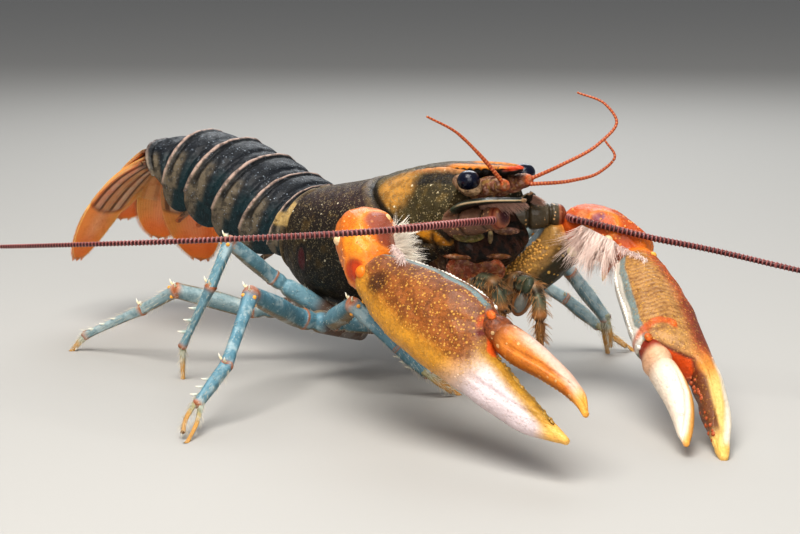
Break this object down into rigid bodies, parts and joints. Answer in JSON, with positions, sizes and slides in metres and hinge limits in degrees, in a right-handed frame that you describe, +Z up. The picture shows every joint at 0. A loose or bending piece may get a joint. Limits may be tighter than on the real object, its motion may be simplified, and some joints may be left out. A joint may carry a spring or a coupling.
{
  "type": "crayfish",
  "caption": "Dark speckled crayfish standing with large orange claws held forward, long ringed feelers, pale blue legs and an arched tail with a spread orange fan.",
  "frame": {"origin": "on the floor under the middle of the animal's box", "axes": "+X forwards along the body, +Y to the animal's left, +Z up"},
  "size_m": [0.1784, 0.1127, 0.0451],
  "materials": {
    "shell": "dark brown shell with gold speckles and an orange beak",
    "belly": "pale brown under shell and face",
    "abdomen": "blue-black speckled tail rings with pale hind edges",
    "fan": "thin orange tail plates with tan roots",
    "eye": "glossy black eye on a pale stalk",
    "feeler": "maroon feelers with fine pale rings",
    "base": "olive-brown feeler bases and flat scales",
    "arm": "gold-olive arm of the claw",
    "wrist": "orange wrist of the claw",
    "palm": "olive-brown to orange claw with gold grains and a pale patch",
    "finger": "orange moving finger with a pale upper edge",
    "leg": "light blue leg with orange joints",
    "foot": "blue to ochre foot",
    "mouth": "orange-brown jaw legs"
  },
  "bodies": {
    "root": {"thorax": "belly", "carapace": "shell", "abdomen_1": "abdomen", "abdomen_2": "abdomen", "abdomen_3": "abdomen", "abdomen_4": "abdomen", "abdomen_5": "abdomen", "abdomen_6": "abdomen", "telson": "fan", "uropod_right_inner": "fan", "uropod_right_outer": "fan", "uropod_left_inner": "fan", "uropod_left_outer": "fan", "eye_right": "eye", "eye_left": "eye", "antennule_right": "base", "antennule_left": "base", "antenna_right_base": "base", "antenna_right_whip_1": "feeler", "antenna_right_whip_2": "feeler", "antenna_right_whip_3": "feeler", "antenna_left_base": "base", "antenna_left_whip_1": "feeler", "antenna_left_whip_2": "feeler", "antenna_left_whip_3": "feeler", "jaw_leg_right": "mouth", "jaw_leg_left": "mouth", "claw_right_arm": "arm", "claw_right_wrist": "wrist", "claw_right_palm": "palm", "claw_right_finger": "finger", "claw_left_arm": "arm", "claw_left_wrist": "wrist", "claw_left_palm": "palm", "claw_left_finger": "finger", "leg_right_2_upper": "leg", "leg_right_2_shank": "leg", "leg_right_2_foot": "foot", "leg_right_3_upper": "leg", "leg_right_3_shank": "leg", "leg_right_3_foot": "foot", "leg_right_4_upper": "leg", "leg_right_4_shank": "leg", "leg_right_4_foot": "foot", "leg_right_5_upper": "leg", "leg_right_5_shank": "leg", "leg_right_5_foot": "foot", "leg_left_2_upper": "leg", "leg_left_2_shank": "leg", "leg_left_2_foot": "foot", "leg_left_3_upper": "leg", "leg_left_3_shank": "leg", "leg_left_3_foot": "foot", "leg_left_4_upper": "leg", "leg_left_4_shank": "leg", "leg_left_4_foot": "foot", "leg_left_5_upper": "leg", "leg_left_5_shank": "leg", "leg_left_5_foot": "foot"}
  },
  "joints": []
}
